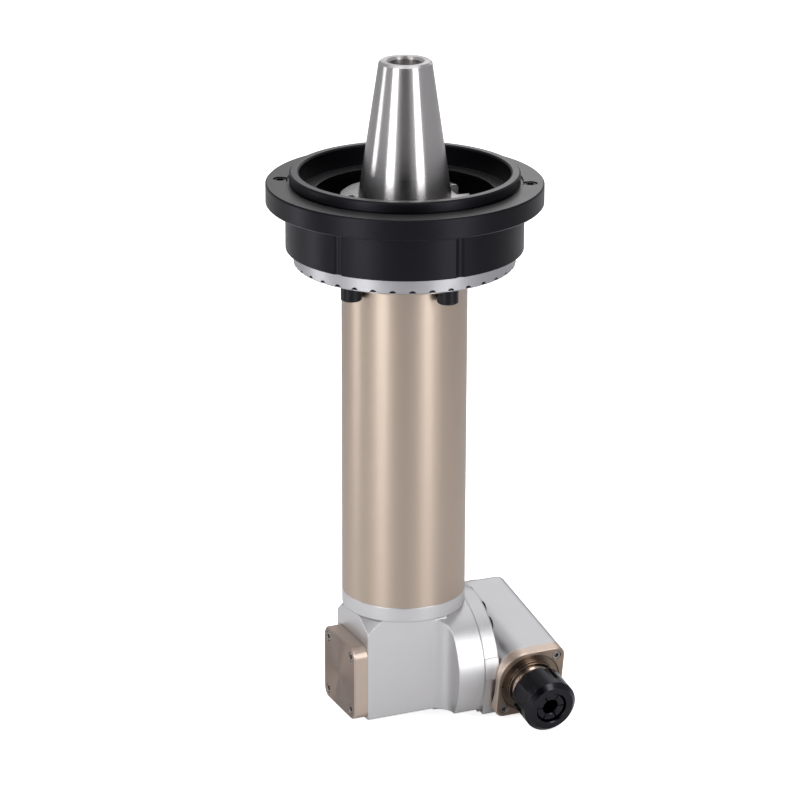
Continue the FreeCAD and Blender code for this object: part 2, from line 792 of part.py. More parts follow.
def cross_shaft():
    """Shaft across the gearbox into the head."""
    left = cross_a_left - lock_nut_t
    right = head_x - front_of_gear()
    shaft = placed(rod(gear_bore_r, left, right), ON_SWIVEL)
    return shaft.cut(Part.makeCompound(cross_shaft_keys()))


def cross_input_bevel():
    """Driven gear on the -X side of the column axis, a space at the contact line towards +Z."""
    gear = bevel_gear(gear_hub_end, False)
    gear = placed(gear, frame_placement(V(0, 0, swivel_z), Z_AXIS, V(-1, 0, 0)))
    return gear.cut(Part.makeCompound(cross_shaft_keys()))


def cross_output_bevel():
    """Gear in the head on the cross shaft, a tooth at the contact line towards the nose."""
    gear = bevel_gear(gear_hub_end, True)
    gear = placed(gear, frame_placement(HEAD, D_AXIS, V(-1, 0, 0)))
    return gear.cut(Part.makeCompound(cross_shaft_keys()))


def cross_spacer():
    """Spacer tube between the right bearing and the output gear."""
    return placed(ring(gear_bore_r + 3.4, gear_bore_r, cross_b_right, head_x - gear_hub_end), ON_SWIVEL)


def cross_inner_spacer():
    """Spacer tube between the input gear and the right bearing, past the gear chamber."""
    return placed(ring(gear_bore_r + 2.2, gear_bore_r, -front_of_gear(), cross_bearing_b_x), ON_SWIVEL)


def cross_lock_nut():
    """Nut at the left end of the cross shaft."""
    return placed(slotted_nut(lock_nut_r, gear_bore_r, cross_a_left - lock_nut_t, cross_a_left), ON_SWIVEL)


# Swivelling head

def head_outline_placement(offset):
    """Placement of a plate across the spindle: local X along +X, local Y up, local Z out of the nose."""
    return frame_placement(HEAD + D_AXIS * offset, X_AXIS, D_AXIS)


def head_radii():
    """Corner radii for a plate seen along the spindle, large at the upper corner beside the column."""
    return [head_corner_r, head_big_corner_r, head_corner_r, head_corner_r]


def sector(inner_r, outer_r, left, right, start, end):
    """Part of a ring about the swivel axis, angles from +Z towards -Y."""
    corners = [V(left, 0, inner_r), V(right, 0, inner_r), V(right, 0, outer_r), V(left, 0, outer_r)]
    face = Part.Face(Part.makePolygon(corners + corners[:1]))
    solid = face.revolve(V(0, 0, 0), X_AXIS, end - start)
    solid.rotate(V(0, 0, 0), X_AXIS, start)
    solid.translate(V(0, 0, swivel_z))
    return solid


def head_block():
    """Long block with one large rounded edge, its back edges rounded over."""
    block = rounded_plate(head_half, head_half, -head_back, head_front, head_radii())
    rims = []
    for edge in block.Edges:
        if edge.BoundBox.ZMax < -head_back + 0.001:
            rims.append(edge)
    return placed(block.makeFillet(back_corner_r, rims), ON_SPINDLE)


def head_shoe():
    """Flat-sided part of the head beside the barrel, turned down where it passes under the column's collar."""
    right = head_x - head_half + head_corner_r
    low = box(shoe_relief_x - head_x, right - head_x, -head_half, shoe_top, -head_back + back_corner_r, head_front)
    low = placed(low, ON_SPINDLE)
    joint = barrel_right_x + face_gap
    turned_part = Part.makeCylinder(hood_r, shoe_relief_x - joint + 0.5, V(joint, 0, swivel_z), X_AXIS)
    limit = placed(box(-head_x, 0, -head_half, shoe_top, -head_back, head_front), ON_SPINDLE)
    return [low, turned_part.common(limit)]


def head_housing():
    """Head housing with its hood over the swivel joint, spindle bore and side opening for the cross shaft."""
    joint = barrel_right_x + face_gap
    spigot_left = barrel_right_x - swivel_bore_depth + 1
    neck = Part.makeCylinder(neck_r, hood_right_x - joint, V(joint, 0, swivel_z), X_AXIS)
    hood = sector(neck_r - 1, hood_r, joint, hood_right_x, hood_start, hood_end)
    spigot = Part.makeCylinder(head_spigot_r, joint - spigot_left + 1, V(spigot_left, 0, swivel_z), X_AXIS)
    body = head_block().multiFuse(head_shoe() + [neck, hood, spigot]).removeSplitter()
    bore = placed(rod(nose_bearing[1], -head_back - 1, head_front + 1), ON_SPINDLE)
    side = Part.makeCylinder(head_spigot_bore_r, head_x - spigot_left + 1,
                             V(spigot_left - 1, 0, swivel_z), X_AXIS)
    cover_seat = placed(rod(rear_cover_r, -head_back - 1, -head_back + rear_cover_t), ON_SPINDLE)
    side = side.cut(placed(box(-head_x, head_x, -head_x, head_x, gear_hub_end, head_x), ON_SPINDLE))
    cuts = [bore, side, cover_seat]
    head_hole_r = swivel_head_r + hole_gap / 2
    for seat in swivel_screw_seats():
        cuts.append(placed(counterbore(head_hole_r, swivel_head_h, swivel_screw_r + hole_gap / 2, hood_right_x), seat))
    cuts += [placed(rod(small_screw_r, -small_screw_length, 1), seat) for seat in plate_screw_seats(0.0)]
    return body.cut(Part.makeCompound(cuts))


def swivel_screw_seats():
    """Placements of the swivel clamp screws, local Z out along +X."""
    seat_x = hood_right_x + swivel_head_proud - swivel_head_h
    seats = []
    for angle in swivel_screw_angles:
        turn = math.radians(angle)
        across = V(0, -math.sin(turn), math.cos(turn))
        origin = V(seat_x, 0, swivel_z) + across * swivel_circle_r
        seats.append(frame_placement(origin, across, X_AXIS))
    return seats


def swivel_clamp_screws():
    """Clamp screws through the hood into the T nuts."""
    seat_x = hood_right_x + swivel_head_proud - swivel_head_h
    length = seat_x - (barrel_right_x - swivel_slot_depth - face_gap - swivel_nut_t)
    screw = cap_screw(swivel_head_r, swivel_head_h, swivel_screw_r, length)
    return [placed(screw, seat) for seat in swivel_screw_seats()]


def swivel_t_nuts():
    """Square nuts of the clamp screws, sliding round the barrel's T groove."""
    high = barrel_right_x - swivel_slot_depth - face_gap
    nut = box(-swivel_nut_half, swivel_nut_half, -swivel_nut_half, swivel_nut_half, -swivel_nut_t, 0)
    nut = nut.cut(rod(swivel_screw_r, -swivel_nut_t - 1, 1))
    nuts = []
    for seat in swivel_screw_seats():
        place = FreeCAD.Placement(V(high, seat.Base.y, seat.Base.z), seat.Rotation)
        nuts.append(placed(nut, place))
    return nuts


def plate_screw_seats(out):
    """Placements of the front plate's screws, local Z out of the nose."""
    seats = []
    for su, sv in ((1, 1), (-1, -1), (1, -1)):
        origin = HEAD + X_AXIS * (su * plate_screw_offset) + V_AXIS * (sv * plate_screw_offset)
        seats.append(frame_placement(origin + D_AXIS * (head_front + out), X_AXIS, D_AXIS))
    return seats


def front_plate():
    """Front plate with a stepped bore round the spindle nose."""
    slab = chamfered_plate(head_half, head_half, plate_t, head_radii(), plate_edge)
    slab = slab.cut(rod(plate_bore_r, plate_t - plate_bore_depth, plate_t + 1))
    slab = slab.cut(rod(nose_r + running_gap * 4, -1, plate_t + 1))
    depth = small_head_h + small_head_sink
    plate = placed(slab, head_outline_placement(head_front))
    holes = [placed(counterbore(small_head_r + 0.4, depth, small_screw_r, plate_t), seat)
             for seat in plate_screw_seats(plate_t - depth)]
    room = Part.makeCylinder(hood_r + face_gap, hood_right_x + face_gap - barrel_right_x,
                             V(barrel_right_x, 0, swivel_z), X_AXIS)
    return plate.cut(Part.makeCompound(holes + [room]))


def front_plate_screws():
    """Socket screws of the front plate."""
    depth = small_head_h + small_head_sink
    screw = cap_screw(small_head_r, small_head_h, small_screw_r, plate_t - depth + small_screw_length - 1)
    return [placed(screw, seat) for seat in plate_screw_seats(plate_t - depth)]


def rear_cover():
    """Round cover sunk in the head's back face."""
    return placed(rod(rear_cover_r, -head_back, -head_back + rear_cover_t), ON_SPINDLE)


# Spindle

def spindle_key():
    """Key of the output gear."""
    return placed(key_block(gear_bore_r, gear_hub_end - 1 - key_length, gear_hub_end - 1), ON_SPINDLE)


def collet_seat_r(at):
    """Radius of the collet's taper at a place along the spindle."""
    return collet_front_r - (collet_front() - at) * math.tan(math.radians(collet_half_angle))


def collet_front():
    """Place of the collet's widest point, just ahead of the spindle's end."""
    return spindle_end + 1.0


def output_spindle():
    """Hollow spindle: rear journal, gear seat, nose journals, nose flange and collet taper."""
    rear = -rear_bearing_back - lock_nut_t
    taper_back = collet_front() - collet_length - 2
    body = turned([
        (spindle_bore_r, rear), (gear_bore_r, rear), (gear_bore_r, nose_bearing_start),
        (nose_bearing[0], nose_bearing_start), (nose_bearing[0], head_front + 0.5),
        (nose_r, head_front + 0.5), (nose_r, nose_flange_end), (thread_r + 1.2, nose_flange_end),
        (thread_r, nose_flange_end + 1.2), (thread_r, spindle_end),
        (collet_seat_r(spindle_end) + running_gap, spindle_end),
        (collet_seat_r(taper_back) + running_gap, taper_back), (spindle_bore_r, taper_back)])
    grooves = []
    for i in range(nose_grooves):
        low = nose_flange_end - 2 * nose_groove_w * (i + 1)
        grooves.append(ring(nose_r + 1, nose_r - nose_groove_depth, low, low + nose_groove_w))
    body = body.cut(Part.makeCompound(grooves))
    return placed(body, ON_SPINDLE).cut(spindle_key())


def output_bevel_gear():
    """Gear on the spindle towards the nose, a space at the contact line towards -X."""
    gear = bevel_gear(gear_hub_end, False)
    return placed(gear, frame_placement(HEAD, V(-1, 0, 0), D_AXIS)).cut(spindle_key())


def spindle_lock_nut():
    """Nut at the spindle's rear end."""
    low = -rear_bearing_back - lock_nut_t
    return placed(slotted_nut(lock_nut_r, gear_bore_r, low, -rear_bearing_back), ON_SPINDLE)


def collet():
    """Slotted collet with the long seat taper and a short clamping taper in front."""
    front = collet_front()
    back = front - collet_length
    lip = front + 3.2
    body = turned([
        (collet_bore_r, back), (collet_seat_r(back), back), (collet_front_r, front),
        (collet_front_r - 1.4, front + 0.9), (collet_front_r - 1.0, front + 1.6),
        (collet_front_r - 1.9, lip), (collet_bore_r + 0.8, lip), (collet_bore_r, lip - 0.8)])
    slot = box(collet_bore_r - 1, collet_front_r + 1, -collet_slot_w / 2, collet_slot_w / 2,
               back + collet_length * 0.2, lip + 1)
    slots = around(slot, even_angles(collet_slots))
    return placed(body.cut(Part.makeCompound(slots)), ON_SPINDLE)


def collet_nut():
    """Clamping nut: threaded bore, lip over the collet's front taper, slots for a hook spanner."""
    inner = collet_front_r + 0.6
    lip_low = nut_end - nut_lip_t
    body = turned([
        (thread_r + running_gap, nut_start), (nut_r - 1.0, nut_start), (nut_r, nut_start + 1.0),
        (nut_r, nut_end - nut_chamfer), (nut_r - nut_chamfer, nut_end), (nut_mouth_r + 0.8, nut_end),
        (nut_mouth_r, nut_end - 0.8), (nut_mouth_r, lip_low), (inner, lip_low - 1.0),
        (inner, spindle_end + 0.4), (thread_r + running_gap, spindle_end + 0.4)])
    slot = box(nut_r - nut_slot_depth, nut_r + 2, -nut_slot_w / 2, nut_slot_w / 2,
               nut_start - 1, nut_start + nut_slot_length)
    slots = around(slot, even_angles(nut_slots, nut_slot_phase))
    return placed(body.cut(Part.makeCompound(slots)), ON_SPINDLE)


def labyrinth_ring():
    """Dark seal ring on the spindle, in the front plate's stepped bore."""
    low = head_front + plate_t - plate_bore_depth + 0.4
    return placed(ring(labyrinth_r, nose_r, low, low + labyrinth_t), ON_SPINDLE)


def nose_spacer():
    """Spacer between the front bearings and the nose flange."""
    return placed(ring(nose_bearing[0] + 3, nose_bearing[0], nose_bearing_end, head_front + 0.5), ON_SPINDLE)


def main():
    """Builds and writes every node."""
    save("mounting_flange", mounting_flange())
    save("flange_screws", flange_screws())

    outer_spacer, inner_spacer = input_spacers()
    lows = input_bearing_lows()
    save("index_ring", index_ring())
    save("clamp_screws", clamp_screws())
    save("t_nuts", t_nuts())
    save("bearing_sleeve", bearing_sleeve())
    save("extension_tube", extension_tube())
    save("input_seal", input_seal())
    save("input_bearing_outer_rings", [bearing_outer(input_bearing, low) for low in lows] + [outer_spacer])
    save("input_bearing_rollers", sum([bearing_rollers(input_bearing, low) for low in lows], []))
    save("gearbox_housing", gearbox_housing())
    save("bearing_retainer", bearing_retainer())
    save("end_cover", end_cover())
    save("end_cover_screws", end_cover_screws())

    shaft_lows = [lower_bearing_bottom, lower_bearing_bottom + shaft_bearing[2]]
    save("shaft_bearing_outer_rings", [bearing_outer(shaft_bearing, low) for low in shaft_lows])
    save("shaft_bearing_rollers", sum([bearing_rollers(shaft_bearing, low) for low in shaft_lows], []))
    cross_lows = [cross_a_left, cross_bearing_b_x]
    save("cross_bearing_outer_rings", [placed(bearing_outer(shaft_bearing, low), ON_SWIVEL) for low in cross_lows])
    save("cross_bearing_rollers",
         [placed(r, ON_SWIVEL) for low in cross_lows for r in bearing_rollers(shaft_bearing, low)])

    save("taper_shank", taper_shank())
    save("input_bearing_inner_rings", [bearing_inner(input_bearing, low) for low in lows] + [inner_spacer])
    save("shank_lock_nut", shank_lock_nut())
    save("drive_pin", drive_pin())
    save("drive_shaft", drive_shaft())
    save("shaft_bearing_inner_rings", [bearing_inner(shaft_bearing, low) for low in shaft_lows])
    save("input_bevel_gear", input_bevel_gear())
    save("input_gear_key", drive_key())

    save("cross_shaft", cross_shaft())
    save("cross_bearing_inner_rings", [placed(bearing_inner(shaft_bearing, low), ON_SWIVEL) for low in cross_lows])
    save("cross_spacers", [cross_spacer(), cross_inner_spacer()])
    save("cross_lock_nut", cross_lock_nut())
    save("cross_input_bevel", cross_input_bevel())
    save("cross_output_bevel", cross_output_bevel())
    save("cross_gear_keys", cross_shaft_keys())

    nose_lows = [nose_bearing_start, nose_bearing_start + nose_bearing[2]]
    rear_low = -rear_bearing_back
    save("head_housing", head_housing())
    save("front_plate", front_plate())
    save("front_plate_screws", front_plate_screws())
    save("rear_cover", rear_cover())
    save("swivel_clamp_screws", swivel_clamp_screws())
    save("swivel_t_nuts", swivel_t_nuts())
    save("spindle_bearing_outer_rings",
         [placed(bearing_outer(nose_bearing, low), ON_SPINDLE) for low in nose_lows]
         + [placed(bearing_outer(shaft_bearing, rear_low), ON_SPINDLE)])
    rollers = [r for low in nose_lows for r in bearing_rollers(nose_bearing, low)]
    rollers += bearing_rollers(shaft_bearing, rear_low)
    save("spindle_bearing_rollers", [placed(r, ON_SPINDLE) for r in rollers])

    save("output_spindle", output_spindle())
    save("output_bevel_gear", output_bevel_gear())
    save("output_gear_key", spindle_key())
    save("spindle_bearing_inner_rings",
         [placed(bearing_inner(nose_bearing, low), ON_SPINDLE) for low in nose_lows]
         + [placed(bearing_inner(shaft_bearing, rear_low), ON_SPINDLE)])
    save("nose_spacer", nose_spacer())
    save("spindle_lock_nut", spindle_lock_nut())
    save("labyrinth_ring", labyrinth_ring())
    save("collet", collet())
    save("collet_nut", collet_nut())


main()
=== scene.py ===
import math

import bpy
from mathutils import Matrix, Vector


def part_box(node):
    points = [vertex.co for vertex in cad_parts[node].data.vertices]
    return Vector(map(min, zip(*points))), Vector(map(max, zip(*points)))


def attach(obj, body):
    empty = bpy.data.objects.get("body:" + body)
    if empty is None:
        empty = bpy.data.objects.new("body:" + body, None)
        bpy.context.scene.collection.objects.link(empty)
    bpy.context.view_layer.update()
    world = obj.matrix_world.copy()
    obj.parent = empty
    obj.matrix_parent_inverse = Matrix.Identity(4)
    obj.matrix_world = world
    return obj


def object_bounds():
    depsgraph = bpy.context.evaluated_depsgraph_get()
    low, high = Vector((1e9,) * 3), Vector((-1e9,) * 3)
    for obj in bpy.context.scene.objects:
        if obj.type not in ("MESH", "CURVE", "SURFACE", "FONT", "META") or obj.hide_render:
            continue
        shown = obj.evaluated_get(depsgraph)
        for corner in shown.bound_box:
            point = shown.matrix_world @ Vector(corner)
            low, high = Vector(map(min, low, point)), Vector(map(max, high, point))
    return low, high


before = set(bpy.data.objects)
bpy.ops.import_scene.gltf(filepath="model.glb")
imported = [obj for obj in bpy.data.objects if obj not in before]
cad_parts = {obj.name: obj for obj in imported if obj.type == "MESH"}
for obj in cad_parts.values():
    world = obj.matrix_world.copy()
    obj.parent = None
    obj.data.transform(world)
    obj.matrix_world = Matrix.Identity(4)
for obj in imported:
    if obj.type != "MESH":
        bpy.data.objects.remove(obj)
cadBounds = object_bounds()
print("frame loaded:", len(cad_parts), "pieces")

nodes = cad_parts
mm = 0.001
upAxis = Vector((0, 0, 1))

# What all the metals share
metalDetail = {
    "edgeSamples": 6,  # rays that round an edge
    "hollowSamples": 6,  # rays that find a notch
    "lineDetail": 3.0,
    "lineHeightMm": 0.05,
    "grainDetail": 4.0,
    "grainHeightMm": 0.04,
    "cloudDetail": 2.0,
    "cloudSmoothest": 0.9,  # share of the roughness
    "cloudDullest": 1.12,
    "quarterTurn": 0.25,  # of the highlight, which then runs across the tool lines
}


def linear(hexValue):
    # sRGB hex to the linear colour that the shaders take
    channels = [int(hexValue[i:i + 2], 16) / 255 for i in (1, 3, 5)]
    light = [c / 12.92 if c <= 0.04045 else ((c + 0.055) / 1.055) ** 2.4 for c in channels]
    return (*light, 1.0)


def addNode(tree, kind, inputs=None, links=None, **settings):
    node = tree.nodes.new(kind)
    for name, value in settings.items():
        setattr(node, name, value)
    for name, value in (inputs or {}).items():
        node.inputs[name].default_value = value
    for name, source in (links or {}).items():
        tree.links.new(source, node.inputs[name])
    return node


def startMetal(name, look):
    # A plain metal with its rounded edges; the caller adds how the surface was made
    material = bpy.data.materials.new(name)
    material.use_nodes = True
    tree = material.node_tree
    shader = tree.nodes["Principled BSDF"]
    shader.inputs["Base Color"].default_value = linear(look["colour"])
    shader.inputs["Metallic"].default_value = look["metallic"]
    shader.inputs["Roughness"].default_value = look["roughness"]
    edge = addNode(tree, "ShaderNodeBevel", {"Radius": look["edgeMm"] * mm},
                   samples=metalDetail["edgeSamples"])
    tree.links.new(edge.outputs["Normal"], shader.inputs["Normal"])
    return material, tree, shader, edge


def toolLines(tree, shader, edge, look, distance):
    # Lines that a tool left over this distance, as a bump and in the roughness
    lines = addNode(tree, "ShaderNodeTexNoise",
                    {"Scale": 1 / (look["layMm"] * mm), "Detail": metalDetail["lineDetail"]},
                    {"W": distance}, noise_dimensions="1D")
    bump = addNode(tree, "ShaderNodeBump",
                   {"Strength": look["layDepth"], "Distance": metalDetail["lineHeightMm"] * mm},
                   {"Height": lines.outputs[0], "Normal": edge.outputs["Normal"]})
    tree.links.new(bump.outputs["Normal"], shader.inputs["Normal"])
    spread = addNode(tree, "ShaderNodeMapRange",
                     {"To Min": look["roughness"] * (1 - look["laySpread"]),
                      "To Max": look["roughness"] * (1 + look["laySpread"])},
                     {"Value": lines.outputs[0]})
    tree.links.new(spread.outputs[0], shader.inputs["Roughness"])


def turnedLay(tree, shader, edge, look, axis):
    # Fine lines round a turned piece, one beside the other along its axis
    place = addNode(tree, "ShaderNodeTexCoord")
    parts = addNode(tree, "ShaderNodeSeparateXYZ", links={"Vector": place.outputs["Object"]})
    toolLines(tree, shader, edge, look, parts.outputs[axis])


def facedLay(tree, shader, edge, look, centre, normal):
    # Rings of a faced plate, round the middle of the face
    place = addNode(tree, "ShaderNodeTexCoord")
    offset = addNode(tree, "ShaderNodeVectorMath", {1: centre}, {0: place.outputs["Object"]},
                     operation="SUBTRACT")
    inPlane = addNode(tree, "ShaderNodeVectorMath", {1: tuple(1 - abs(part) for part in normal)},
                      {0: offset.outputs[0]}, operation="MULTIPLY")
    distance = addNode(tree, "ShaderNodeVectorMath", links={0: inPlane.outputs[0]}, operation="LENGTH")
    toolLines(tree, shader, edge, look, distance.outputs["Value"])


def grainedSurface(tree, shader, edge, look):
    # Even fine grain, as bead blasting or an oxide bath leaves
    place = addNode(tree, "ShaderNodeTexCoord")
    grain = addNode(tree, "ShaderNodeTexNoise",
                    {"Scale": 1 / (look["grainMm"] * mm), "Detail": metalDetail["grainDetail"]},
                    {"Vector": place.outputs["Object"]})
    bump = addNode(tree, "ShaderNodeBump",
                   {"Strength": look["grainDepth"], "Distance": metalDetail["grainHeightMm"] * mm},
                   {"Height": grain.outputs[0], "Normal": edge.outputs["Normal"]})
    tree.links.new(bump.outputs["Normal"], shader.inputs["Normal"])
    cloud = addNode(tree, "ShaderNodeTexNoise",
                    {"Scale": 1 / (look["cloudMm"] * mm), "Detail": metalDetail["cloudDetail"]},
                    {"Vector": place.outputs["Object"]})
    spread = addNode(tree, "ShaderNodeMapRange",
                     {"To Min": look["roughness"] * metalDetail["cloudSmoothest"],
                      "To Max": look["roughness"] * metalDetail["cloudDullest"]},
                     {"Value": cloud.outputs[0]})
    tree.links.new(spread.outputs[0], shader.inputs["Roughness"])


def paintedLitSides(tree, shader, look, axis):
    # Painted light: faces that don't look along the axis get a paler base colour than the front, standing
    # in for the softbox light on the sides
    place = addNode(tree, "ShaderNodeTexCoord")
    parts = addNode(tree, "ShaderNodeSeparateXYZ", links={"Vector": place.outputs["Normal"]})
    facing = addNode(tree, "ShaderNodeMath", links={0: parts.outputs[axis]}, operation="ABSOLUTE")
    front = addNode(tree, "ShaderNodeMapRange",
                    {"From Min": look["sideEnds"], "From Max": look["frontStarts"]},
                    {"Value": facing.outputs[0]})
    tone = addNode(tree, "ShaderNodeMix", {6: linear(look["litSideColour"]), 7: linear(look["colour"])},
                   {0: front.outputs[0]}, data_type="RGBA")
    tree.links.new(tone.outputs[2], shader.inputs["Base Color"])


def paintedCreviceShade(tree, shader, look):
    # Painted shade: notches and inner corners get a darker base colour where the occlusion rays find nearby
    # walls
    hollow = addNode(tree, "ShaderNodeAmbientOcclusion", {"Distance": look["creviceMm"] * mm},
                     samples=metalDetail["hollowSamples"])
    shade = addNode(tree, "ShaderNodeMapRange",
                    {"From Min": look["creviceDeep"], "From Max": look["creviceEdge"],
                     "To Min": look["creviceTone"]}, {"Value": hollow.outputs["AO"]})
    tone = addNode(tree, "ShaderNodeMix", {6: (0.0, 0.0, 0.0, 1.0), 7: linear(look["colour"])},
                   {0: shade.outputs[0]}, data_type="RGBA")
    tree.links.new(tone.outputs[2], shader.inputs["Base Color"])


def roundTangent(tree, shader, axis, amount):
    # Stretches highlights at right angles to the tool lines of a turned face, which run round the axis
    tangent = addNode(tree, "ShaderNodeTangent", direction_type="RADIAL", axis=axis)
    tree.links.new(tangent.outputs[0], shader.inputs["Tangent"])
    shader.inputs["Anisotropic"].default_value = amount
    shader.inputs["Anisotropic Rotation"].default_value = metalDetail["quarterTurn"]


def dress(material, *names):
    for name in names:
        for slot in nodes[name].material_slots:
            slot.material = material


def newPiece(name, points, faces, material):
    mesh = bpy.data.meshes.new(name)
    mesh.from_pydata(points, [], faces)
    mesh.validate()
    mesh.materials.append(material)
    piece = bpy.data.objects.new(name, mesh)
    bpy.context.scene.collection.objects.link(piece)
    return piece


def addSoftbox(name, lamp, place):
    light = bpy.data.lights.new(name, "AREA")
    light.shape = "RECTANGLE"
    light.size = lamp["width"]
    light.size_y = lamp["tall"]
    light.energy = lamp["watts"]
    box = bpy.data.objects.new(name, light)
    bpy.context.scene.collection.objects.link(box)
    box.location = place
    return box


# Flange: turned steel, black oxide bath. Nearly black sides, with a painted grey sheen on the level faces
# where a lamp falls
flange = {
    "colour": "#27272b",
    "paintedSheenColour": "#7b7a79",
    "sheenStarts": 0.9,  # how far a face looks up: 1 is level
    "sheenFull": 1.0,
    "metallic": 1.0,
    "roughness": 0.36,
    "edgeMm": 0.5,
    "grainMm": 0.5,  # real grit is finer; drawn as coarse as it needs to show
    "grainDepth": 0.18,
    "cloudMm": 18.0,  # patches where the bath took unevenly
}
blackOxideSteel, tree, shader, edge = startMetal("blackOxideSteel", flange)
grainedSurface(tree, shader, edge, flange)
# Painted sheen: level faces get a paler base colour, standing in for the lamp light on the faced top
facing = addNode(tree, "ShaderNodeNewGeometry")
upward = addNode(tree, "ShaderNodeSeparateXYZ", links={0: facing.outputs["True Normal"]})
paintedSheen = addNode(tree, "ShaderNodeMapRange",
               {"From Min": flange["sheenStarts"], "From Max": flange["sheenFull"]},
               {"Value": upward.outputs["Z"]})
tone = addNode(tree, "ShaderNodeMix", {6: linear(flange["colour"]), 7: linear(flange["paintedSheenColour"])},
               {0: paintedSheen.outputs[0]}, data_type="RGBA")
tree.links.new(tone.outputs[2], shader.inputs["Base Color"])
dress(blackOxideSteel, "mounting_flange")

# Socket screws in the black parts: black oxide, a little glossier than the flange
blackScrews = {
    "colour": "#2c2c2f",
    "metallic": 1.0,
    "roughness": 0.34,
    "edgeMm": 0.3,
    "grainMm": 0.25,  # as on the flange
    "grainDepth": 0.15,
    "cloudMm": 4.0,
}
blackScrewSteel, tree, shader, edge = startMetal("blackScrewSteel", blackScrews)
grainedSurface(tree, shader, edge, blackScrews)
dress(blackScrewSteel, "flange_screws", "clamp_screws", "swivel_clamp_screws", "t_nuts", "swivel_t_nuts")
print("black parts dressed")

# Column tube: aluminium, turned and anodised champagne. Soft warm bands along the tube, fine lines round it
tube = {
    "colour": "#c1b1a3",
    "metallic": 1.0,
    "roughness": 0.41,
    "edgeMm": 0.4,
    "layMm": 0.6,  # feed marks are nearer 0.1 mm; drawn as coarse as they need to show
    "layDepth": 0.25,
    "laySpread": 0.12,
    "stretch": 0.55,
}
champagneAnodised, tree, shader, edge = startMetal("champagneAnodised", tube)
turnedLay(tree, shader, edge, tube, "Z")
roundTangent(tree, shader, "Z", tube["stretch"])
dress(champagneAnodised, "extension_tube")

# Gearbox and head: cast aluminium, machined and bead blasted. Pale even satin, no clear reflections
housing = {
    "colour": "#d6d5d6",
    "metallic": 1.0,
    "roughness": 0.38,
    "edgeMm": 1.4,  # the casting's edges are blasted round
    "grainMm": 0.4,  # bead marks are nearer 0.1 mm; drawn as coarse as they need to show
    "grainDepth": 0.22,
    "cloudMm": 25.0,
    "creviceMm": 4.0,  # how far apart the walls of a dark corner are
    "creviceDeep": 0.25,
    "creviceEdge": 0.8,
    "creviceTone": 0.25,
}
blastedAluminium, tree, shader, edge = startMetal("blastedAluminium", housing)
grainedSurface(tree, shader, edge, housing)
# Painted shade in the casting's corners
paintedCreviceShade(tree, shader, housing)
dress(blastedAluminium, "gearbox_housing", "head_housing")

# Cast shoulder of the head: carries the hood's curve on down to the flat side, beside the front plate.
# Sizes in mm, angles in degrees
shoulder = {
    "startAngle": 74.0,  # from straight up towards the nose, round the swivel's axis
    "endAngle": 94.0,
    "steps": 12,
    "swivelHeight": -390.6,
    "profile": [(46.4, 38.0), (46.4, 52.9), (58.5, 52.9), (58.5, 38.0)],  # x, radius
}
points, faces = [], []
corners = len(shoulder["profile"])
for step in range(shoulder["steps"] + 1):
    share = step / shoulder["steps"]
    turn = math.radians(shoulder["startAngle"] * (1 - share) + shoulder["endAngle"] * share)
    for x, radius in shoulder["profile"]:
        points.append((x * mm, -radius * mm * math.sin(turn),
                       (shoulder["swivelHeight"] + radius * math.cos(turn)) * mm))
    if step:
        low, high = (step - 1) * corners, step * corners
        faces += [(low + i, high + i, high + (i + 1) % corners, low + (i + 1) % corners)
                  for i in range(corners)]
firstEnd = range(corners)
lastEnd = range(shoulder["steps"] * corners, len(points))
faces += [tuple(firstEnd), tuple(reversed(lastEnd))]
headShoulder = newPiece("headShoulder", points, faces, blastedAluminium)
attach(headShoulder, "swivel_head")

# Index ring: aluminium, turned bare. A greyer tone than the blasted castings, with notches darkened by
# painted shade
indexRing = {
    "colour": "#b4b4b8",
    "metallic": 1.0,
    "roughness": 0.38,
    "edgeMm": 0.3,
    "layMm": 0.4,  # feed marks are nearer 0.1 mm; drawn as coarse as they need to show
    "layDepth": 0.12,
    "laySpread": 0.1,
    "creviceMm": 6.0,
    "creviceDeep": 0.3,
    "creviceEdge": 0.62,
    "creviceTone": 0.45,
}
turnedAluminium, tree, shader, edge = startMetal("turnedAluminium", indexRing)
turnedLay(tree, shader, edge, indexRing, "Z")
# Painted shade in the notches
paintedCreviceShade(tree, shader, indexRing)
dress(turnedAluminium, "index_ring")

# Thin plate inside the ring's lower edge, which closes the notches from below. Sizes in mm
ringPlate = {
    "inner": 78.5,  # radius
    "outer": 82.8,
    "rise": 0.1,
    "thick": 0.6,
    "steps": 144,
}
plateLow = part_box("index_ring")[0][2] + ringPlate["rise"] * mm
section = [(ringPlate["inner"], 0), (ringPlate["outer"], 0),
           (ringPlate["outer"], ringPlate["thick"]), (ringPlate["inner"], ringPlate["thick"])]
corners = len(section)
points, faces = [], []
for step in range(ringPlate["steps"]):
    turn = math.tau * step / ringPlate["steps"]
    for radius, height in section:
        points.append((radius * mm * math.cos(turn), radius * mm * math.sin(turn), plateLow + height * mm))
    here, there = step * corners, (step + 1) % ringPlate["steps"] * corners
    faces += [(here + i, there + i, there + (i + 1) % corners, here + (i + 1) % corners)
              for i in range(corners)]
indexRingPlate = newPiece("indexRingPlate", points, faces, turnedAluminium)
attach(indexRingPlate, "column")

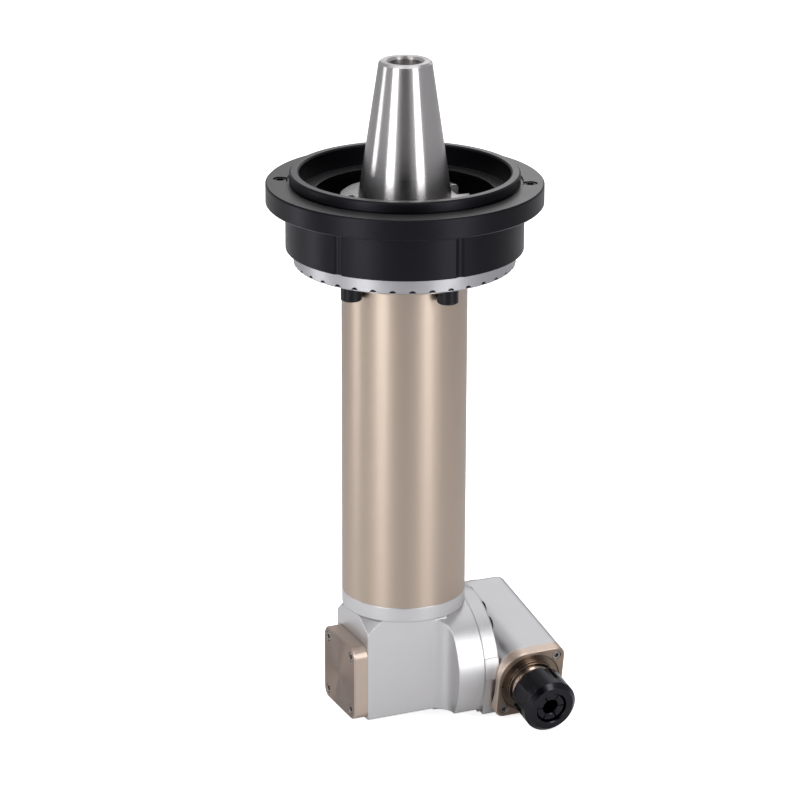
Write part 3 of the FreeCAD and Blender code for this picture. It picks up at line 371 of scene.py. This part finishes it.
# Covers: aluminium, faced on a lathe and anodised champagne. A fan of light through the middle of the face,
# and painted light on the paler sides
cover = {
    "colour": "#93837a",
    "litSideColour": "#dccabc",
    "sideEnds": 0.6,  # how far a face looks along the axis: 1 is square to it
    "frontStarts": 0.97,
    "metallic": 1.0,
    "roughness": 0.4,
    "edgeMm": 0.5,
    "stretch": 0.85,
    "layMm": 0.5,  # feed marks are nearer 0.1 mm; drawn as coarse as they need to show
    "layDepth": 0.12,
    "laySpread": 0.12,
    "centre": (0.0, 0.0, -0.3906),  # on the swivel's axis, in metres
}
facedCover, tree, shader, edge = startMetal("facedCover", cover)
facedLay(tree, shader, edge, cover, cover["centre"], (1, 0, 0))
roundTangent(tree, shader, "X", cover["stretch"])
# Painted light on the sides
paintedLitSides(tree, shader, cover, "X")
dress(facedCover, "end_cover")

# The head's plates: the same finish a little paler, faced round the spindle
plate = cover | {"colour": "#a69486", "centre": (0.0834, 0.0, -0.3906)}
facedPlate, tree, shader, edge = startMetal("facedPlate", plate)
facedLay(tree, shader, edge, plate, plate["centre"], (0, 1, 0))
roundTangent(tree, shader, "Y", plate["stretch"])
# Painted light on the plates' sides as well
paintedLitSides(tree, shader, plate, "Y")
dress(facedPlate, "front_plate", "rear_cover")

# Screws of the covers: plain steel, tumbled. Grey heads, with painted shade darkening the sockets
coverScrews = {
    "colour": "#a8a5a2",
    "metallic": 1.0,
    "roughness": 0.3,
    "edgeMm": 0.25,
    "grainMm": 0.2,  # tumbling marks are finer; drawn as coarse as they need to show
    "grainDepth": 0.12,
    "cloudMm": 2.5,
    "creviceMm": 2.5,
    "creviceDeep": 0.2,
    "creviceEdge": 0.75,
    "creviceTone": 0.1,
}
plainScrewSteel, tree, shader, edge = startMetal("plainScrewSteel", coverScrews)
grainedSurface(tree, shader, edge, coverScrews)
# Painted shade in the sockets
paintedCreviceShade(tree, shader, coverScrews)
dress(plainScrewSteel, "end_cover_screws", "front_plate_screws")
print("column and gearbox dressed")

# Shank: hardened steel, ground to a bright finish. Sharp bands of light down the taper
shank = {
    "colour": "#d6d3d2",
    "metallic": 1.0,
    "roughness": 0.26,
    "edgeMm": 0.4,
    "layMm": 0.25,  # grinding lines are far finer; drawn as coarse as they need to show
    "layDepth": 0.02,
    "laySpread": 0.03,
    "stretch": 0.85,
}
groundSteel, tree, shader, edge = startMetal("groundSteel", shank)
turnedLay(tree, shader, edge, shank, "Z")
roundTangent(tree, shader, "Z", shank["stretch"])
dress(groundSteel, "taper_shank")

# Spindle nose: hardened steel with a bronze tempering tint, ground. Warm, with small clear highlights
nose = {
    "colour": "#b3a294",
    "metallic": 1.0,
    "roughness": 0.22,
    "edgeMm": 0.3,
    "grainMm": 0.15,  # grinding marks are finer; drawn as coarse as they need to show
    "grainDepth": 0.08,
    "cloudMm": 5.0,
    "creviceMm": 3.0,
    "creviceDeep": 0.2,
    "creviceEdge": 0.7,
    "creviceTone": 0.2,
}
temperedSteel, tree, shader, edge = startMetal("temperedSteel", nose)
grainedSurface(tree, shader, edge, nose)
# Painted shade in the nose's hollows
paintedCreviceShade(tree, shader, nose)
dress(temperedSteel, "output_spindle", "nose_spacer")

# Seal rings: the same steel, duller and darker
sealRing = {
    "colour": "#85766a",
    "metallic": 1.0,
    "roughness": 0.28,
    "edgeMm": 0.3,
    "grainMm": 0.15,  # as on the nose
    "grainDepth": 0.1,
    "cloudMm": 6.0,
}
darkSeal, tree, shader, edge = startMetal("darkSeal", sealRing)
grainedSurface(tree, shader, edge, sealRing)
dress(darkSeal, "labyrinth_ring", "input_seal")

# Clamping nut and collet: turned steel, polished and black oxide. Dark, with clear highlights on the edges
nut = {
    "colour": "#333337",
    "metallic": 1.0,
    "roughness": 0.22,
    "edgeMm": 0.5,
    "grainMm": 0.2,  # polishing marks are finer; drawn as coarse as they need to show
    "grainDepth": 0.1,
    "cloudMm": 8.0,
}
polishedBlackNut, tree, shader, edge = startMetal("polishedBlackNut", nut)
grainedSurface(tree, shader, edge, nut)
dress(polishedBlackNut, "collet_nut", "collet")

# What is inside: machined steel, oiled. Even grey with a soft shine
inside = {
    "colour": "#9b999a",
    "metallic": 1.0,
    "roughness": 0.3,
    "edgeMm": 0.2,
    "grainMm": 0.2,  # as on the nut
    "grainDepth": 0.1,
    "cloudMm": 6.0,
}
machinedSteel, tree, shader, edge = startMetal("machinedSteel", inside)
grainedSurface(tree, shader, edge, inside)
dress(machinedSteel, "bearing_sleeve", "input_bearing_outer_rings", "input_bearing_rollers",
      "bearing_retainer", "shaft_bearing_outer_rings", "shaft_bearing_rollers",
      "cross_bearing_outer_rings", "cross_bearing_rollers", "input_bearing_inner_rings",
      "shank_lock_nut", "drive_pin", "drive_shaft", "shaft_bearing_inner_rings", "input_bevel_gear",
      "input_gear_key", "cross_shaft", "cross_bearing_inner_rings", "cross_spacers", "cross_lock_nut",
      "cross_input_bevel", "cross_output_bevel", "cross_gear_keys", "spindle_bearing_outer_rings",
      "spindle_bearing_rollers", "output_bevel_gear", "output_gear_key", "spindle_bearing_inner_rings",
      "spindle_lock_nut")
print("shank, nose and inner pieces dressed")

# Pale studio floor: bright where the camera sees it, dimmer in what the metal reflects
studio = {
    "floorDrop": 0.5,  # mm under the part
    "floorRoughness": 0.9,
    "floorColour": "#f6f6f6",
    "floorGlow": 0.8,
    "reflectedFloor": "#d8d8d8",
    "size": 40.0,  # metres
    "roomSeen": "#ffffff",
    "roomReflected": "#c2c2c6",
    "roomStrength": 0.75,
    "flagInner": 0.985,  # cosine of the angle from the camera
    "flagOuter": 0.93,
    "flagShade": 0.05,  # share of the room's light that the flag leaves
}
floorHeight = cadBounds[0][2] - studio["floorDrop"] * mm
bpy.ops.mesh.primitive_plane_add(size=studio["size"], location=(0, 0, floorHeight))
floor = bpy.context.object
floor.name = "studioFloor"
paper = bpy.data.materials.new("palePaper")
paper.use_nodes = True
tree = paper.node_tree
shader = tree.nodes["Principled BSDF"]
shader.inputs["Roughness"].default_value = studio["floorRoughness"]
shader.inputs["Specular IOR Level"].default_value = 0.0
rays = addNode(tree, "ShaderNodeLightPath")
shade = addNode(tree, "ShaderNodeMix",
                {6: linear(studio["floorColour"]), 7: linear(studio["reflectedFloor"])},
                {0: rays.outputs["Is Glossy Ray"]}, data_type="RGBA")
tree.links.new(shade.outputs[2], shader.inputs["Base Color"])
glow = addNode(tree, "ShaderNodeMath", {1: studio["floorGlow"]}, {0: rays.outputs["Is Camera Ray"]},
               operation="MULTIPLY")
shader.inputs["Emission Color"].default_value = (1.0, 1.0, 1.0, 1.0)
tree.links.new(glow.outputs[0], shader.inputs["Emission Strength"])
floor.data.materials.append(paper)

cameraAngle = -114.06  # degrees round the part
world = bpy.data.worlds.new("studioRoom")
bpy.context.scene.world = world
world.use_nodes = True
tree = world.node_tree
rays = addNode(tree, "ShaderNodeLightPath")
seen = addNode(tree, "ShaderNodeMath", operation="MAXIMUM",
               links={0: rays.outputs["Is Camera Ray"], 1: rays.outputs["Is Transmission Ray"]})
room = addNode(tree, "ShaderNodeMix",
               {6: linear(studio["roomReflected"]), 7: linear(studio["roomSeen"])},
               {0: seen.outputs[0]}, data_type="RGBA")
# The dark flag round the camera, which the polished parts show as a dark strip between the softboxes
cameraTurn = math.radians(cameraAngle)
direction = addNode(tree, "ShaderNodeTexCoord")
flat = addNode(tree, "ShaderNodeVectorMath", {1: (1.0, 1.0, 0.0)}, {0: direction.outputs["Generated"]},
               operation="MULTIPLY")
level = addNode(tree, "ShaderNodeVectorMath", links={0: flat.outputs[0]}, operation="NORMALIZE")
facing = addNode(tree, "ShaderNodeVectorMath", {1: (math.cos(cameraTurn), math.sin(cameraTurn), 0.0)},
                 {0: level.outputs[0]}, operation="DOT_PRODUCT")
flag = addNode(tree, "ShaderNodeMapRange",
               {"From Min": studio["flagOuter"], "From Max": studio["flagInner"],
                "To Min": studio["roomStrength"], "To Max": studio["roomStrength"] * studio["flagShade"]},
               {"Value": facing.outputs["Value"]})
strength = addNode(tree, "ShaderNodeMix", {3: 1.0}, {0: seen.outputs[0], 2: flag.outputs[0]})
background = tree.nodes["Background"]
tree.links.new(room.outputs[2], background.inputs["Color"])
tree.links.new(strength.outputs[0], background.inputs["Strength"])

# Tall softboxes each side of the camera, a small one low at the side and one behind. Metres and watts
lamps = {
    "left": {"turn": -40.0, "distance": 1.6, "height": 0.15, "width": 0.56, "tall": 1.7, "watts": 13.0},
    "right": {"turn": 42.0, "distance": 1.6, "height": 0.15, "width": 0.55, "tall": 1.7, "watts": 12.0},
    "side": {"turn": -93.0, "distance": 1.2, "height": -0.2, "width": 0.3, "tall": 0.4, "watts": 1.4},
    "back": {"turn": 165.0, "distance": 1.8, "height": 0.9, "width": 1.2, "tall": 1.0, "watts": 2.6},
}
middle = Vector((0.02, 0.0, -0.17))
for name, lamp in lamps.items():
    turn = math.radians(cameraAngle + lamp["turn"])
    place = middle + Vector((math.cos(turn), math.sin(turn), 0)) * lamp["distance"]
    place.z = lamp["height"]
    box = addSoftbox(name + "Softbox", lamp, place)
    box.rotation_euler = (middle - place).to_track_quat("-Z", "Y").to_euler()

overhead = {"width": 2.2, "tall": 2.2, "watts": 14.0, "place": (0.1, 0.2, 1.9)}
addSoftbox("overheadSoftbox", overhead, overhead["place"])

# A wash for the floor alone, which the metal doesn't reflect
wash = {"width": 2.6, "tall": 2.6, "watts": 26.0, "place": (0.1, 0.2, 2.1)}
floorWash = addSoftbox("floorWash", wash, wash["place"])
floorWash.visible_glossy = False
print("studio lit")

# Camera: long lens, looking down a little from the end cover's side
view = {
    "place": (-1.0401, -2.3297, 0.7263),  # metres
    "forward": (0.3834, 0.8616, -0.3326),
    "roll": 0.0035,  # radians
    "lens": 159.55,
    "sensor": 36.0,
}
lens = bpy.data.cameras.new("longLens")
lens.lens = view["lens"]
lens.sensor_width = view["sensor"]
camera = bpy.data.objects.new("longLens", lens)
bpy.context.scene.collection.objects.link(camera)
ahead = Vector(view["forward"]).normalized()
side = ahead.cross(upAxis).normalized()
up = side.cross(ahead)
side = side * math.cos(view["roll"]) + up * math.sin(view["roll"])
up = side.cross(ahead)
camera.matrix_world = Matrix((
    (side.x, up.x, -ahead.x, view["place"][0]),
    (side.y, up.y, -ahead.y, view["place"][1]),
    (side.z, up.z, -ahead.z, view["place"][2]),
    (0, 0, 0, 1)))
bpy.context.scene.camera = camera
bpy.context.scene.view_settings.view_transform = "Standard"
